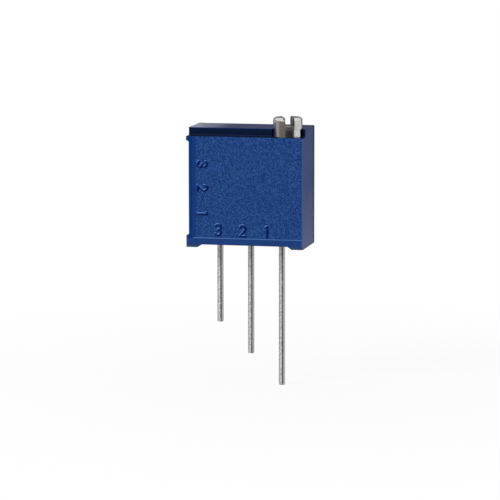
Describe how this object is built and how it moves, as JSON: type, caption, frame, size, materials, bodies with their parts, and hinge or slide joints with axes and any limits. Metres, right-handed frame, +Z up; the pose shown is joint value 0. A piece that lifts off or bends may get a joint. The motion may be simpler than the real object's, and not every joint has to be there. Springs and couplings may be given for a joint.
{
  "type": "trimmer potentiometer",
  "caption": "Square multi-turn cermet trimmer with a slotted top screw that drives a sliding wiper, and in-line leads for through-hole boards.",
  "frame": {"origin": "on the centre lead's axis, in the plane of the board that the feet stand on", "axes": "+Z up, away from the board, along the leads and the adjustment screw; the front face with the moulded digits looks along -Y; +X runs from lead 3 to lead 1, towards the screw"},
  "size_m": [0.0095, 0.0048, 0.0219],
  "materials": {
    "case": "moulded blue plastic, fine grain on the front panel, smooth elsewhere",
    "epoxy": "cured dark blue epoxy",
    "ceramic": "fired white alumina, matt",
    "resistor_film": "fired cermet film, satin black",
    "silver_film": "fired silver-palladium film, matt",
    "tinned_lead": "bright tinned copper wire",
    "solder": "reflowed solder",
    "nickel": "turned brass, nickel plated",
    "seal_rubber": "silicone rubber",
    "steel": "stamped stainless steel",
    "carriage_plastic": "natural moulded plastic",
    "contact_alloy": "gold-coloured spring alloy"
  },
  "bodies": {
    "case": {"housing": "case", "rear_cover": "case", "cover_seal": "epoxy", "base_seal": "epoxy", "substrate": "ceramic", "resistive_track": "resistor_film", "collector_track": "silver_film", "pad_1": "silver_film", "pad_3": "silver_film", "lead_1": "tinned_lead", "lead_2": "tinned_lead", "lead_3": "tinned_lead", "solder_1": "solder", "solder_2": "solder", "solder_3": "solder", "screw_retainer": "steel"},
    "screw": {"adjustment_screw": "nickel", "o_ring": "seal_rubber"},
    "slider": {"carriage": "carriage_plastic", "wiper": "contact_alloy"}
  },
  "joints": [
    {"name": "screw_turn", "type": "hinge", "parent": "case", "child": "screw", "pos_m": [0.00325, -0.00114, 0], "axis": [0, 0, 1], "range_deg": [-4510, 4510]},
    {"name": "carriage_slide", "type": "slide", "parent": "case", "child": "slider", "axis": [0, 0, 1], "range_m": [-0.0025, 0.0025]}
  ],
  "couplings": [
    {"joint": "screw_turn", "follows": "carriage_slide", "rad_per_m": -31416}
  ]
}
